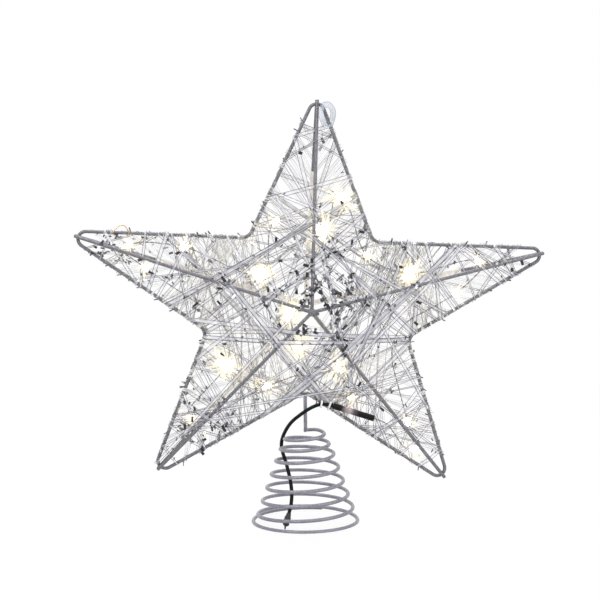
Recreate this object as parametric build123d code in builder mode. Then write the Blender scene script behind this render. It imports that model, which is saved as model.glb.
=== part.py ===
from build123d import *
import os
from math import atan2, cos, pi, radians, sin, sqrt, tan

# Wire star for the top of a Christmas tree: a pillow-shaped star of bent and welded wire, wound with clear
# ribbon round a string of lamps, on a cone spring that grips the tree's tip.
# Millimetres. The origin is the centre of the spring's base ring on the ground, +Z is up, the star faces -Y.

# Star frame, sizes between wire centre lines
star_width = 300.0             # across the two side tips
star_height = 239.0            # top tip to lower tips
star_depth = 60.0              # front hub to back hub
star_foot_height = 84.8        # bottom notch above the ground
star_lean_angle = 3.0          # degrees, the top leans to the right
notch_width_share = 0.435      # of the tips' reach, sideways
notch_height_share = 0.415     # of the tips' reach, upwards
frame_wire = 2.3               # wire diameter
frame_wire_sides = 8
tip_bend_radius = 5.0
notch_bend_radius = 8.0
ridge_overhang = 1.2           # ridge wire past the outline wire at a tip
weld_gap = 0.05
hub_diameter = 6.4
hub_thickness = 3.0
tip_angles = (90.0, 18.0, -54.0, -126.0, 162.0)
notch_angles = (54.0, -18.0, -90.0, -162.0, 126.0)
arm_names = ("top", "right", "lower_right", "lower_left", "left")

# Cone spring and its stem, one wire
spring_wire = 2.4
spring_wire_sides = 8
base_ring_diameter = 72.0      # at its cut end
top_turn_diameter = 24.4
coil_height = 57.5             # base ring to top turn
open_turns = 5
closed_turns = 2
closed_pitch = 6.6             # of the turns under the stem
base_end_angle = 69.0          # degrees, where the base ring's cut end lies
stem_bend_radius = 3.5
foot_flat = 0.5                # depth worn flat under the base ring
body_clearance = 0.3           # between the star and what stays with the spring

# Clear ribbon
ribbon_width = 2.4
ribbon_thickness = 0.3
ribbon_clearance = 0.22        # ribbon over wire
layer_clearance = 0.38         # outer ribbon over inner ribbon
outline_wrap_steps = 3         # folds of a ribbon round an outline wire
ridge_wrap_steps = 1           # folds of a ribbon over a ridge wire
inner_loops = 5
outer_loops = 4
inner_from_share = 0.15        # along the arm's wires, from the tip
inner_to_share = 0.57
outer_from_share = 0.19
outer_to_share = 0.59
centre_loops = 3
centre_pitch = 9.0
centre_edge_start = 12.0       # first loop from a notch, along the outline
centre_near_start = 18.0       # first loop from the hub, along the first ridge
centre_far_start = 11.5        # first loop from the hub, along the second ridge
centre_back_start = 14.5       # first loop from the hub, along the first ridge at the back

# Lamp string
string_wire = 1.0
string_wire_sides = 4
lamp_diameter = 3.2
lamp_length = 5.6
lamp_sides = 6
lamp_end_share = 0.5           # of the lamp's diameter, at its ends
lamp_body_share = 0.5          # of the lamp's length, at full diameter
lamp_bore_clearance = 0.06
lamp_drop = 1.3                # lamp centre under its facet
lamp_run = 13.0                # straight wire through a lamp
string_trim = 3.6              # wire taken up by each bend
turn_drop = 4.0                # string under the facet where it crosses a valley
string_tail = 4.0
string_outlet = 7.0            # straight wire out of the sleeve

# Places along the lamp string, as shares of half the star's width and of its height
string_shares = (
    ("turn", 0.385, -0.325),
    ("lamp", 0.490, -0.377),
    ("lamp", 0.450, -0.300),
    ("turn", 0.330, -0.060),
    ("lamp", 0.640, 0.057),
    ("lamp", 0.730, 0.146),
    ("lamp", 0.430, 0.106),
    ("lamp", 0.240, 0.150),
    ("lamp", 0.120, 0.301),
    ("lamp", 0.034, 0.215),
    ("lamp", -0.160, 0.234),
    ("lamp", -0.220, 0.090),
    ("lamp", -0.547, 0.155),
    ("lamp", -0.787, 0.153),
    ("lamp", -0.713, 0.096),
    ("turn", -0.340, -0.050),
    ("lamp", -0.350, -0.158),
    ("lamp", -0.493, -0.310),
    ("lamp", -0.170, -0.213),
    ("turn", 0.000, -0.172),
    ("lamp", 0.200, -0.237),
    ("lamp", 0.130, -0.144),
    ("lamp", -0.044, -0.098),
    ("lamp", -0.090, -0.008),
)

# Supply lead with its splice sleeve, ties and connector
lead_diameter = 2.4
lead_sides = 6
lead_bend_share = 0.45         # of the shorter run, taken up by each bend
sleeve_diameter = 4.0
sleeve_chamfer = 0.6
sleeve_clearance = 2.4         # sleeve over the ribbons
sleeve_start_shares = (0.118, -0.2607)
sleeve_end_shares = (0.298, -0.290)
tie_width = 1.2
tie_thickness = 0.5
tie_clearance = 0.75
tie_places = (12.5, 19.0)      # along the outline from the bottom notch
connector_diameter = 4.2
connector_neck_diameter = 3.2
connector_length = 9.0
connector_neck = 2.5
connector_chamfer = 0.3
connector_pin_diameter = 1.0
connector_pin_length = 3.0
connector_pin_pitch = 1.8

# Lead from the sleeve, in front of the stem, down outside the top turns and on inside the spring
lead_route = (
    (11.0, -6.2, 79.2),
    (3.2, -6.8, 76.6),
    (-4.2, -5.0, 71.4),
    (-9.6, 2.0, 65.6),
    (-13.6, 9.4, 57.6),
    (-15.6, 13.8, 50.0),
    (-14.7, 12.6, 43.9),
    (-12.9, 8.6, 38.8),
    (-11.6, 4.0, 33.4),
    (-10.4, 0.4, 27.6),
    (-9.7, -2.6, 21.4),
    (-10.0, -6.0, 15.6),
    (-11.2, -10.4, 11.2),
    (-12.6, -14.8, 8.2),
)

# Frame geometry, first in the star's own flat
tip_reach_x = star_width / 2 / cos(radians(tip_angles[1]))
tip_reach_y = star_height / (1 - sin(radians(tip_angles[2])))
wire_radius = frame_wire / 2
hub_height = star_depth / 2


def reach_point(angle, width_share=1.0, height_share=1.0):
    """A point of the star's outline, by its angle, as shares of the tips' reach."""
    return Vector(
        tip_reach_x * width_share * cos(radians(angle)), tip_reach_y * height_share * sin(radians(angle))
    )


def sharp_tip(apex, before, after):
    """The corner where the straight sides from two notches meet, if a tip's bend is to touch its apex."""
    centre = apex - apex.normalized() * tip_bend_radius
    sides = []
    for notch, turn in ((before, 1), (after, -1)):
        gap = centre - notch
        swing = turn * atan2(tip_bend_radius, sqrt(gap.length**2 - tip_bend_radius**2))
        sides.append(
            Vector(gap.X * cos(swing) - gap.Y * sin(swing), gap.X * sin(swing) + gap.Y * cos(swing))
        )
    first, second = sides
    step = after - before
    reach = (step.X * second.Y - step.Y * second.X) / (first.X * second.Y - first.Y * second.X)
    return before + first * reach


notches = [reach_point(angle, notch_width_share, notch_height_share) for angle in notch_angles]
apexes = [reach_point(angle) for angle in tip_angles]
tips = [sharp_tip(apexes[k], notches[k - 1], notches[k]) for k in range(len(tip_angles))]

# The star stands with the bend of its bottom notch on the stem
bottom = arm_names.index("lower_right")
half_opening = radians((tips[bottom] - notches[bottom]).get_angle(tips[bottom + 1] - notches[bottom])) / 2
foot_drop = notch_bend_radius * (1 / sin(half_opening) - 1) - notches[bottom].Y
lean = radians(star_lean_angle)
star_plane = Plane(
    origin=(foot_drop * sin(lean), 0, star_foot_height + foot_drop * cos(lean)),
    x_dir=(cos(lean), 0, -sin(lean)),
    z_dir=(0, -1, 0),
)


def star_point(across, up, front=0.0):
    """A point of the star, given across, up and to the front of its centre."""
    return star_plane.from_local_coords(Vector(across, up, front))


def facet_height(across, up):
    """Height of the star's front facets over its middle plane."""
    for k, tip in enumerate(apexes):
        for notch in (notches[k], notches[k - 1]):
            area = tip.X * notch.Y - tip.Y * notch.X
            along_tip = (across * notch.Y - up * notch.X) / area
            along_notch = (tip.X * up - tip.Y * across) / area
            if along_tip >= 0 and along_notch >= 0:
                return hub_height * (1 - along_tip - along_notch)
    return 0.0


# Outline: one closed loop of bent wire
outline_corners = []
outline_radii = []
for tip, notch in zip(tips, notches):
    outline_corners += [(tip.X, tip.Y), (notch.X, notch.Y)]
    outline_radii += [tip_bend_radius, notch_bend_radius]
with BuildPart() as outline_wire:
    with BuildLine(star_plane) as outline_path:
        FilletPolyline(*outline_corners, radius=outline_radii, close=True)
    with BuildSketch(Plane(outline_path.wire() @ 0, x_dir=star_plane.z_dir, z_dir=outline_path.wire() % 0)):
        RegularPolygon(wire_radius, frame_wire_sides, rotation=180 / frame_wire_sides)
    sweep(path=outline_path.wire())

# Hubs: the weld buttons that the ridge wires meet at
hubs = {}
for side, sign in (("front", 1), ("back", -1)):
    with BuildPart() as hub:
        with BuildSketch(star_plane.offset(sign * hub_height)):
            Circle(hub_diameter / 2)
        extrude(amount=hub_thickness / 2, both=True)
    hubs[side] = hub

# Ridges: straight wires from the hubs to the tips, laid against the outline there
ridge_lines = {}
ridges = {}
for side, sign in (("front", 1), ("back", -1)):
    hub_point = star_point(0, 0, sign * hub_height)
    for name, apex in zip(arm_names, apexes):
        crossing = star_point(apex.X, apex.Y, sign * (frame_wire + weld_gap))
        toward_tip = (crossing - hub_point).normalized()
        tip_end = crossing + toward_tip * (wire_radius + ridge_overhang)
        ridge_lines[side, name] = (tip_end, hub_point)
        with BuildPart() as ridge:
            with BuildSketch(Plane(hub_point, z_dir=toward_tip)):
                Circle(wire_radius)
            extrude(amount=(tip_end - hub_point).length)
            with BuildSketch(star_plane.offset(sign * hub_height)):
                Circle(hub_diameter / 2 + weld_gap)
            extrude(amount=hub_thickness, both=True, mode=Mode.SUBTRACT)
        ridges[side, name] = ridge

# The straight sides of the outline, from each tip to the notch after it and the notch before it
edge_lines = {}
for k, name in enumerate(arm_names):
    tip = star_point(tips[k].X, tips[k].Y)
    edge_lines[name, "after"] = (tip, star_point(notches[k].X, notches[k].Y))
    edge_lines[name, "before"] = (tip, star_point(notches[k - 1].X, notches[k - 1].Y))


def biarc(start, start_direction, end, end_direction):
    """Two arcs that join two points smoothly."""
    gap = end - start
    both = start_direction + end_direction
    turn = 2 * (1 - start_direction.dot(end_direction))
    reach = gap.dot(both)
    if turn < 1e-9:
        step = gap.dot(gap) / (2 * reach)
    else:
        step = (sqrt(reach**2 + turn * gap.dot(gap)) - reach) / turn
    middle = (start + end) * 0.5 + (start_direction - end_direction) * (step / 2)
    first = TangentArc(start, middle, tangent=start_direction)
    return first, TangentArc(middle, end, tangent=first % 1)


# Cone spring: a flat base ring, open turns, two closer turns, then the stem up the middle
spring_radius = spring_wire / 2
base_ring_height = spring_radius - foot_flat
rising_turns = open_turns + closed_turns
open_pitch = (coil_height - closed_turns * closed_pitch) / open_turns
stem_top = star_foot_height - wire_radius - body_clearance


def coil_point(angle):
    """Centre line of the spring's wire, by the angle turned from the base ring's right side."""
    turns = max(0.0, angle / 360 - 1)
    wound = (angle - base_end_angle) / (360 * (rising_turns + 1) - base_end_angle)
    base_radius = base_ring_diameter / 2
    radius = base_radius - (base_radius - top_turn_diameter / 2) * wound
    opened = min(turns, open_turns)
    height = base_ring_height + opened * open_pitch + (turns - opened) * closed_pitch
    return Vector(radius * cos(radians(angle)), radius * sin(radians(angle)), height)


def coil_direction(angle, step=6.0):
    """Direction of the spring's wire there."""
    return (coil_point(angle + step) - coil_point(angle - step)).normalized()


quarter_angles = [base_end_angle]
while quarter_angles[-1] < 360 * (rising_turns + 1):
    quarter_angles.append(90.0 * (quarter_angles[-1] // 90 + 1))
top_radius = top_turn_diameter / 2
top_height = coil_point(quarter_angles[-1]).Z
inward_start = Vector(top_radius / 2, top_radius / 2, top_height + closed_pitch / 4)
bend_start = Vector(0, stem_bend_radius, inward_start.Z)
bend_end = Vector(0, 0, inward_start.Z + stem_bend_radius)

with BuildPart() as base_spring:
    with BuildLine() as spring_path:
        for low, high in zip(quarter_angles, quarter_angles[1:]):
            biarc(coil_point(low), coil_direction(low), coil_point(high), coil_direction(high))
        biarc(coil_point(high), coil_direction(high), inward_start, Vector(-1, 0, 0))
        biarc(inward_start, Vector(-1, 0, 0), bend_start, Vector(0, -1, 0))
        TangentArc(bend_start, bend_end, tangent=(0, -1, 0))
        Line(bend_end, (0, 0, stem_top))
    spring_wire_path = spring_path.wire()
    start_plane = Plane(spring_wire_path @ 0, x_dir=(0, 0, 1), z_dir=spring_wire_path % 0)
    with BuildSketch(start_plane):
        RegularPolygon(spring_radius, spring_wire_sides, major_radius=False, rotation=180 / spring_wire_sides)
    sweep(path=spring_wire_path)
    split(bisect_by=Plane.XY, keep=Keep.TOP)


def least_gap(paths, apart):
    """Least distance between points of one path that lie more than a given number of points apart."""
    least = None
    for i, point in enumerate(paths):
        for other in paths[i + apart:]:
            gap = (point - other).length
            least = gap if least is None else min(least, gap)
    return least


points_per_turn = 24
coil_points = [coil_point(base_end_angle + i * 360 / points_per_turn)
               for i in range(int((quarter_angles[-1] - base_end_angle) / 360 * points_per_turn))]
print("base_spring least gap to itself", round(least_gap(coil_points, points_per_turn // 2) - spring_wire, 2))
spring_section = spring_wire_sides * spring_radius**2 * tan(pi / spring_wire_sides)
print("base_spring volume", round(base_spring.part.volume, 1), "section times length",
      round(spring_section * spring_wire_path.length, 1))


def lies_along(line, distance):
    """A point and the direction of a wire, by the distance from its tip end."""
    direction = (line[1] - line[0]).normalized()
    return line[0] + direction * distance, direction


def outward(first, second, side):
    """Outward normal of the facet that holds two wires."""
    normal = (first[1] - first[0]).cross(second[1] - second[0]).normalized()
    facing = -normal.Y if side == "front" else normal.Y
    return normal if facing > 0 else normal * -1


def ribbon_planes(cycle, loops, lift):
    """Places of a ribbon's section, as it goes round a cycle of wires.

    Each wire of the cycle has its line, the facet's side after it, and the ribbon's first and last distance
    from the wire's tip end.
    """
    count = len(cycle)
    planes = []
    for visit in range(loops * count + 1):
        line, side, first, last = cycle[visit % count]
        before_line, before_side, _, _ = cycle[(visit - 1) % count]
        after_line = cycle[(visit + 1) % count][0]
        point, direction = lies_along(line, first + (last - first) * visit / (loops * count))
        arriving = outward(before_line, line, before_side)
        leaving = outward(line, after_line, side)
        steps = ridge_wrap_steps if before_side == side else outline_wrap_steps
        turn = arriving.get_signed_angle(leaving, direction)
        for i in range(steps + 1):
            across = arriving.rotate(Axis((0, 0, 0), direction), turn * i / steps)
            place = point + across * (wire_radius + lift + ribbon_thickness / 2)
            planes.append(Plane(place, x_dir=direction, z_dir=direction.cross(across)))
    return planes


def wind_ribbon(planes):
    """One unbroken flat ribbon through its sections."""
    with BuildPart() as ribbon:
        for plane in planes:
            with BuildSketch(plane):
                Rectangle(ribbon_width, ribbon_thickness)
        loft(ruled=True)
    return ribbon


def ribbon_gap(planes, steps=6):
    """Least gap of a ribbon to itself, measured on points of its middle line."""
    points = []
    for low, high in zip(planes, planes[1:]):
        points += [low.origin + (high.origin - low.origin) * (i / steps) for i in range(steps)]
    return least_gap(points, steps * len(planes) // 8) - ribbon_width


def stations(order, start_share, end_share):
    """An arm's wires in the order that a ribbon meets them."""
    rows = []
    for line, side in order:
        length = (line[1] - line[0]).length
        rows.append((line, side, length * start_share, length * end_share))
    return rows


outer_lift = ribbon_clearance + ribbon_thickness + layer_clearance
ribbons = {}
gaps = []
for name in arm_names:
    front = ridge_lines["front", name]
    back = ridge_lines["back", name]
    after = edge_lines[name, "after"]
    before = edge_lines[name, "before"]
    right_hand = ((front, "front"), (after, "back"), (back, "back"), (before, "front"))
    left_hand = ((front, "front"), (before, "back"), (back, "back"), (after, "front"))
    inner = ribbon_planes(stations(right_hand, inner_from_share, inner_to_share), inner_loops, ribbon_clearance)
    outer = ribbon_planes(stations(left_hand, outer_from_share, outer_to_share), outer_loops, outer_lift)
    ribbons["ribbon_inner_" + name] = wind_ribbon(inner)
    ribbons["ribbon_outer_" + name] = wind_ribbon(outer)
    gaps += [ribbon_gap(inner), ribbon_gap(outer)]

# Ribbons of the star's middle, each round two neighbouring arms
for k, name in enumerate(arm_names):
    following = arm_names[(k + 1) % len(arm_names)]
    drift = centre_pitch * centre_loops
    cycle = []
    for line, side, start in (
        (edge_lines[name, "before"], "front", centre_edge_start),
        (ridge_lines["front", name], "front", centre_near_start),
        (ridge_lines["front", following], "front", centre_far_start),
        (edge_lines[following, "after"], "back", centre_edge_start),
        (ridge_lines["back", following], "back", centre_far_start),
        (ridge_lines["back", name], "back", centre_back_start),
    ):
        length = (line[1] - line[0]).length
        cycle.append((line, side, length - start, length - start - drift))
    centre = ribbon_planes(cycle, centre_loops, ribbon_clearance)
    ribbons["ribbon_centre_" + name] = wind_ribbon(centre)
    gaps.append(ribbon_gap(centre))
print("ribbons least gap to themselves", round(min(gaps), 2))


def facet_place(shares, lift):
    """A place over the front facets, from shares of half the star's width and of its height."""
    across = star_width / 2 * shares[0]
    up = star_height * shares[1]
    return star_point(across, up, facet_height(across, up) + lift)


# Splice sleeve, over the ribbons of the lower right arm
sleeve_lift = wire_radius + outer_lift + ribbon_thickness + sleeve_clearance + sleeve_diameter / 2
sleeve_start = facet_place(sleeve_start_shares, sleeve_lift)
sleeve_end = facet_place(sleeve_end_shares, sleeve_lift)
sleeve_direction = (sleeve_end - sleeve_start).normalized()
with BuildPart() as lead_sleeve:
    with BuildSketch(Plane(sleeve_start, z_dir=sleeve_direction)):
        Circle(sleeve_diameter / 2)
    extrude(amount=(sleeve_end - sleeve_start).length)
    chamfer(lead_sleeve.edges(), sleeve_chamfer)

# Lamp string: one wire through every lamp
string_places = []
for kind, across_share, up_share in string_shares:
    drop = lamp_drop if kind == "lamp" else turn_drop
    string_places.append(facet_place((across_share, up_share), -drop))
string_points = [sleeve_end, sleeve_end + sleeve_direction * string_outlet]
lamp_planes = []
for i, (kind, _, _) in enumerate(string_shares):
    place = string_places[i]
    previous = string_places[i - 1] if i else sleeve_end
    following = string_places[i + 1] if i + 1 < len(string_places) else place + (place - previous)
    if kind == "lamp":
        direction = (following - previous).normalized()
        lamp_planes.append(Plane(place, z_dir=direction))
        string_points += [place - direction * (lamp_run / 2), place + direction * (lamp_run / 2)]
    else:
        string_points.append(place)
string_points[-1] = place + direction * (lamp_length / 2 + string_tail)


def bend_radii(points, trims):
    """Radius of each bend of a route, from the length of run that it takes up."""
    radii = []
    for i, trim in enumerate(trims):
        arriving = points[i + 1] - points[i]
        leaving = points[i + 2] - points[i + 1]
        half_turn = radians(arriving.get_angle(leaving)) / 2
        radii.append(trim / tan(half_turn))
    return radii


string_radii = bend_radii(string_points, [string_trim] * (len(string_points) - 2))
print("lamp_string bend radii", [round(r, 1) for r in string_radii])
with BuildPart() as lamp_string:
    with BuildLine() as string_path:
        FilletPolyline(*string_points, radius=string_radii)
    string_line = string_path.wire()
    with BuildSketch(Plane(string_line @ 0, z_dir=string_line % 0)):
        RegularPolygon(string_wire / 2, string_wire_sides)
    sweep(path=string_line)
string_section = string_wire_sides / 2 * (string_wire / 2) ** 2 * sin(2 * pi / string_wire_sides)
print("lamp_string volume", round(lamp_string.part.volume, 1), "section times length",
      round(string_section * string_line.length, 1), "length", round(string_line.length))

# Lamps: faceted drops of clear resin on the string
lamp_end = lamp_length * (1 - lamp_body_share) / 2
lamp_end_inset = lamp_diameter / 2 * (1 - lamp_end_share) * cos(pi / lamp_sides)
lamps = []
for plane in lamp_planes:
    with BuildPart() as lamp:
        with BuildSketch(plane):
            RegularPolygon(lamp_diameter / 2, lamp_sides)
        extrude(amount=lamp_length / 2, both=True)
        for end in (0, -1):
            end_face = lamp.faces().filter_by(plane).sort_by(Axis(plane.origin, plane.z_dir))[end]
            chamfer(end_face.edges(), length=lamp_end_inset, length2=lamp_end, reference=end_face)
        with BuildSketch(plane):
            RegularPolygon(string_wire / 2 + lamp_bore_clearance, lamp_sides, major_radius=False)
        extrude(amount=lamp_length, both=True, mode=Mode.SUBTRACT)
    lamps.append(lamp)

# Supply lead
lead_start = sleeve_start - sleeve_direction * body_clearance
lead_points = [lead_start] + [Vector(*point) for point in lead_route]
lead_trims = []
for i in range(len(lead_points) - 2):
    runs = [(lead_points[i + j + 1] - lead_points[i + j]).length for j in (0, 1)]
    lead_trims.append(lead_bend_share * min(runs))
lead_radii = bend_radii(lead_points, lead_trims)
print("power_lead bend radii", [round(r, 1) for r in lead_radii])
with BuildPart() as power_lead:
    with BuildLine() as lead_path:
        FilletPolyline(*lead_points, radius=lead_radii)
    lead_line = lead_path.wire()
    with BuildSketch(Plane(lead_line @ 0, z_dir=lead_line % 0)):
        RegularPolygon(lead_diameter / 2, lead_sides)
    sweep(path=lead_line)
lead_section = lead_sides / 2 * (lead_diameter / 2) ** 2 * sin(2 * pi / lead_sides)
print("power_lead volume", round(power_lead.part.volume, 1), "section times length",
      round(lead_section * lead_line.length, 1), "length", round(lead_line.length, 1))

# Ties: clear bands round the lead and the outline wire
ties = []
bottom_edge = edge_lines["lower_right", "after"]
edge_length = (bottom_edge[1] - bottom_edge[0]).length
lead_steps = 200
lead_shares = [i / lead_steps for i in range(lead_steps // 4)]
for distance in tie_places:
    on_wire, edge_direction = lies_along(bottom_edge, edge_length - distance)
    facings = {share: (edge_direction + lead_line % share).normalized() for share in lead_shares}
    nearest = min(lead_shares, key=lambda share: abs((lead_line @ share - on_wire).dot(facings[share])))
    on_lead = lead_line @ nearest
    reach = on_lead - on_wire
    with BuildPart() as tie:
        with BuildSketch(Plane((on_wire + on_lead) * 0.5, x_dir=reach, z_dir=facings[nearest])):
            SlotCenterToCenter(reach.length, frame_wire + 2 * (tie_clearance + tie_thickness))
            SlotCenterToCenter(reach.length, frame_wire + 2 * tie_clearance, mode=Mode.SUBTRACT)
        extrude(amount=tie_width / 2, both=True)
    ties.append(tie)

# Connector at the lead's far end
connector_direction = (lead_points[-1] - lead_points[-2]).normalized()
connector_plane = Plane(lead_points[-1], z_dir=connector_direction)
with BuildPart() as lead_connector:
    with BuildSketch(connector_plane):
        Circle(connector_neck_diameter / 2)
    extrude(amount=connector_neck)
    with BuildSketch(connector_plane.offset(connector_neck)):
        Circle(connector_diameter / 2)
    extrude(amount=connector_length - connector_neck)
    chamfer(lead_connector.edges().filter_by(GeomType.CIRCLE).group_by(SortBy.RADIUS)[-1], connector_chamfer)
    with BuildSketch(connector_plane.offset(connector_length)):
        with Locations((-connector_pin_pitch / 2, 0), (connector_pin_pitch / 2, 0)):
            Circle(connector_pin_diameter / 2)
    extrude(amount=connector_pin_length)

# One file for each piece
pieces = {
    "outline_wire": outline_wire,
    "front_hub": hubs["front"],
    "back_hub": hubs["back"],
    "base_spring": base_spring,
    "lamp_string": lamp_string,
    "lead_sleeve": lead_sleeve,
    "lead_connector": lead_connector,
    "power_lead": power_lead,
}
for (side, name), ridge in ridges.items():
    pieces[f"{side}_ridge_{name}"] = ridge
for i, lamp in enumerate(lamps):
    pieces[f"lamp_{i + 1:02d}"] = lamp
for i, tie in enumerate(ties):
    pieces[f"lead_tie_{i + 1}"] = tie
pieces.update(ribbons)

os.makedirs("parts", exist_ok=True)
for name, piece in pieces.items():
    piece.part.label = name
    export_step(piece.part, f"parts/{name}.step")
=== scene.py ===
import math
import random

import bpy
import numpy as np
from mathutils import Matrix, Quaternion, Vector


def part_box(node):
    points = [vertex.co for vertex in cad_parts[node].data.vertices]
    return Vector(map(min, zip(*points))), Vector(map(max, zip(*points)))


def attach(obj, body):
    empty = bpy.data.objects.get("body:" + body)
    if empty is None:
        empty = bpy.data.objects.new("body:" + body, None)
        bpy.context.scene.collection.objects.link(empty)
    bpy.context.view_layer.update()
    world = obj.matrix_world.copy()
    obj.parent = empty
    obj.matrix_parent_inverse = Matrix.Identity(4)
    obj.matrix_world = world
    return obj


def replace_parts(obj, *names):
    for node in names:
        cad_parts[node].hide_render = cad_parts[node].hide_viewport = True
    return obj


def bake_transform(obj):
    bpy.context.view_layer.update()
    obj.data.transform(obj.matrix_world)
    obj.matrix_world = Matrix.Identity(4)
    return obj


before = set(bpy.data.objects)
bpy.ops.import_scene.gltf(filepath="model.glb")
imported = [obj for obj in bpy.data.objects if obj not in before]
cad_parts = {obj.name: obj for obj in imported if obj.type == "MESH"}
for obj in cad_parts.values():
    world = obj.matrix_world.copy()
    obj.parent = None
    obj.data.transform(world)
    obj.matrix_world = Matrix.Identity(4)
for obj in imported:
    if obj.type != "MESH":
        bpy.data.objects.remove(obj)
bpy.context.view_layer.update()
scene = bpy.context.scene
rng = random.Random(24)

# Sizes of the model, in metres
STAR_WIDTH, STAR_HEIGHT, HUB_HEIGHT = 0.300, 0.239, 0.030
LEAN = math.radians(3.0)
TIP_ANGLES = (90, 18, -54, -126, 162)
NOTCH_ANGLES = (54, -18, -90, -162, 126)
ARMS = ("top", "right", "lower_right", "lower_left", "left")
NOTCH_ACROSS, NOTCH_UP = 0.435, 0.415
FRAME_RADIUS = 0.00115
TIP_BEND, NOTCH_BEND = 0.005, 0.008
FORWARD = Vector((0, -1, 0))

# The ellipse that the tips lie on, and the middle of the star
reach_x = STAR_WIDTH / 2 / math.cos(math.radians(18))
reach_y = STAR_HEIGHT / (1 + math.sin(math.radians(54)))
hub_low, hub_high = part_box("front_hub")
CENTRE = Vector(((hub_low.x + hub_high.x) / 2, 0.0, (hub_low.z + hub_high.z) / 2))


def flat(angle, across=1.0, up=1.0):
    """A point of the star's plane, at an angle and at shares of the ellipse's reach."""
    a = math.radians(angle)
    return np.array((reach_x * across * math.cos(a), reach_y * up * math.sin(a)))


def turned(v, angle):
    """A vector of the star's plane, turned by an angle."""
    c, s = math.cos(angle), math.sin(angle)
    return np.array((v[0] * c - v[1] * s, v[0] * s + v[1] * c))


def cross2(a, b):
    """The area that two vectors of the plane span."""
    return a[0] * b[1] - a[1] * b[0]


def sharp(apex, before, after):
    """The corner that a tip's straight sides would meet at."""
    centre = apex - apex / np.linalg.norm(apex) * TIP_BEND
    sides = []
    for notch, sign in ((before, 1), (after, -1)):
        gap = centre - notch
        swing = sign * math.atan2(TIP_BEND, math.sqrt(gap @ gap - TIP_BEND**2))
        sides.append(turned(gap, swing))
    return before + sides[0] * (cross2(after - before, sides[1]) / cross2(sides[0], sides[1]))


notches = [flat(a, NOTCH_ACROSS, NOTCH_UP) for a in NOTCH_ANGLES]
apexes = [flat(a) for a in TIP_ANGLES]
corners = [sharp(apexes[k], notches[k - 1], notches[k]) for k in range(5)]
loop = [p for k in range(5) for p in (corners[k], notches[k])]


def star(across, up, front=0.0):
    """A point of the star, across, up and to the front of its centre."""
    return CENTRE + Vector((
        across * math.cos(LEAN) + up * math.sin(LEAN),
        -front,
        -across * math.sin(LEAN) + up * math.cos(LEAN),
    ))


def heading(across, up, front=0.0):
    """A direction of the star, in the same terms."""
    return star(across, up, front) - star(0, 0)


def facet(across, up):
    """Height of the front facets over the star's middle plane."""
    for k, tip in enumerate(apexes):
        for notch in (notches[k], notches[k - 1]):
            area = cross2(tip, notch)
            a = (across * notch[1] - up * notch[0]) / area
            b = (tip[0] * up - tip[1] * across) / area
            if a >= 0 and b >= 0:
                return HUB_HEIGHT * max(0.0, 1 - a - b)
    return 0.0


def inside(p):
    """Whether a point of the star's plane lies within the outline."""
    hit = False
    for i in range(len(loop)):
        a, b = loop[i - 1], loop[i]
        if (a[1] > p[1]) != (b[1] > p[1]):
            if p[0] < a[0] + (b[0] - a[0]) * (p[1] - a[1]) / (b[1] - a[1]):
                hit = not hit
    return hit


# Meshes

def new_mesh(name, verts, faces, materials, indices=None, smooth=True):
    """A mesh object, with an index into its materials for each face."""
    mesh = bpy.data.meshes.new(name)
    mesh.from_pydata([tuple(v) for v in verts], [], faces)
    for m in materials:
        mesh.materials.append(m)
    if indices is not None:
        mesh.polygons.foreach_set("material_index", indices)
    mesh.polygons.foreach_set("use_smooth", [smooth] * len(mesh.polygons))
    mesh.update()
    obj = bpy.data.objects.new(name, mesh)
    scene.collection.objects.link(obj)
    return obj


def tube_data(points, radius, sides, closed=False, normal=None):
    """Rings of a round wire along points, joined into a loop or with its ends closed."""
    pts = [Vector(p) for p in points]
    n = len(pts)
    tangents = []
    for i in range(n):
        a = pts[i - 1] if closed or i else pts[0]
        b = pts[(i + 1) % n] if closed or i + 1 < n else pts[-1]
        tangents.append((b - a).normalized())
    side = Vector(normal) if normal is not None else tangents[0].orthogonal()
    side = (side - tangents[0] * side.dot(tangents[0])).normalized()
    verts, faces = [], []
    for i in range(n):
        side = (side - tangents[i] * side.dot(tangents[i])).normalized()
        other = tangents[i].cross(side)
        r = radius[i] if isinstance(radius, (list, tuple)) else radius
        for j in range(sides):
            a = 2 * math.pi * j / sides
            verts.append(pts[i] + side * (r * math.cos(a)) + other * (r * math.sin(a)))
    for i in range(n if closed else n - 1):
        for j in range(sides):
            k = (j + 1) % sides
            q = (i + 1) % n
            faces.append((i * sides + j, i * sides + k, q * sides + k, q * sides + j))
    if not closed:
        faces.append(tuple(reversed(range(sides))))
        faces.append(tuple(range((n - 1) * sides, n * sides)))
    return verts, faces


def turned_data(here, way, profile, sides):
    """A turned form at here, from rows of distance along way and radius."""
    return tube_data([here + way * z for z, _ in profile], [r for _, r in profile], sides)


def merged(parts):
    """Several meshes' verts and faces as one."""
    verts, faces = [], []
    for v, f in parts:
        base = len(verts)
        verts += v
        faces += [tuple(i + base for i in face) for face in f]
    return verts, faces


def spline_points(points, resolution=12):
    """Points read from a NURBS line through a route."""
    curve = bpy.data.curves.new("route", "CURVE")
    curve.dimensions = "3D"
    spline = curve.splines.new("NURBS")
    spline.points.add(len(points) - 1)
    for p, q in zip(spline.points, points):
        p.co = (*q, 1.0)
    spline.order_u = 3
    spline.use_endpoint_u = True
    spline.resolution_u = resolution
    obj = bpy.data.objects.new("route", curve)
    scene.collection.objects.link(obj)
    bpy.context.view_layer.update()
    mesh = bpy.data.meshes.new_from_object(obj.evaluated_get(bpy.context.evaluated_depsgraph_get()))
    found = [v.co.copy() for v in mesh.vertices]
    bpy.data.objects.remove(obj)
    bpy.data.curves.remove(curve)
    bpy.data.meshes.remove(mesh)
    return found


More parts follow.
